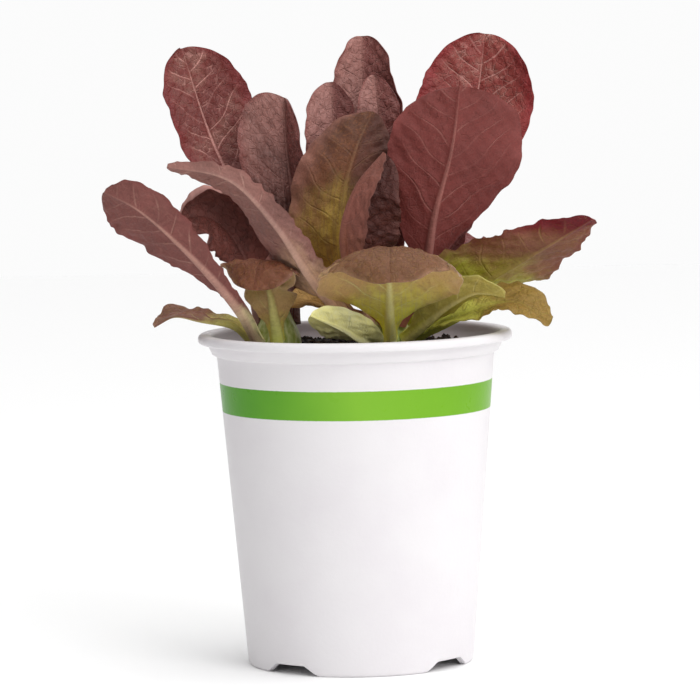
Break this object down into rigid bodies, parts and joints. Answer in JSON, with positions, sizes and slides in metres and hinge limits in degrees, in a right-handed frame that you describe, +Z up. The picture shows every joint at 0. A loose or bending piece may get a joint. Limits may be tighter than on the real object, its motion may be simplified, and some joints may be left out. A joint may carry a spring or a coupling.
{
  "type": "potted romaine lettuce plant",
  "caption": "Young red romaine lettuce with loose upright and arching ruffled leaves, growing in dark soil in a round tapered white nursery pot with a flanged rim and notched feet.",
  "frame": {"origin": "centre of the pot's footprint, on the ground plane", "axes": "+Z up, -Y towards the viewer of the picture, +X to the viewer's right"},
  "size_m": [0.1628, 0.105, 0.2097],
  "materials": {
    "white_plastic": "satin white with one plain green band",
    "dark_soil": "rough dark peat and bark mix",
    "green_stem": "satin plant tissue",
    "red_leaf": "satin leaf, deep red-brown above, mauve below, green towards the base",
    "pale_leaf": "satin leaf, pale green"
  },
  "bodies": {
    "root": {"pot": "white_plastic", "soil": "dark_soil", "left_stem": "green_stem", "right_stem": "green_stem", "left_leaf_low_front": "red_leaf", "left_leaf_tall_back": "red_leaf", "left_leaf_folded": "red_leaf", "left_leaf_curled": "red_leaf", "left_leaf_short_front": "red_leaf", "left_leaf_spreading": "red_leaf", "left_leaf_rear": "red_leaf", "left_leaf_rear_tall": "red_leaf", "right_leaf_arching": "red_leaf", "right_leaf_centre": "red_leaf", "right_leaf_clasped": "red_leaf", "right_leaf_broad": "red_leaf", "right_leaf_tall_back": "red_leaf", "right_leaf_top_back": "red_leaf", "right_leaf_top_middle": "red_leaf", "right_leaf_top_left": "red_leaf", "right_leaf_drooping": "red_leaf", "right_leaf_side": "red_leaf", "right_leaf_low_side": "red_leaf", "right_leaf_hanging": "red_leaf", "right_leaf_pale": "pale_leaf", "right_leaf_small_left": "red_leaf", "right_leaf_rear": "red_leaf", "right_leaf_rear_side": "red_leaf", "right_leaf_rear_tall": "red_leaf"}
  },
  "joints": []
}
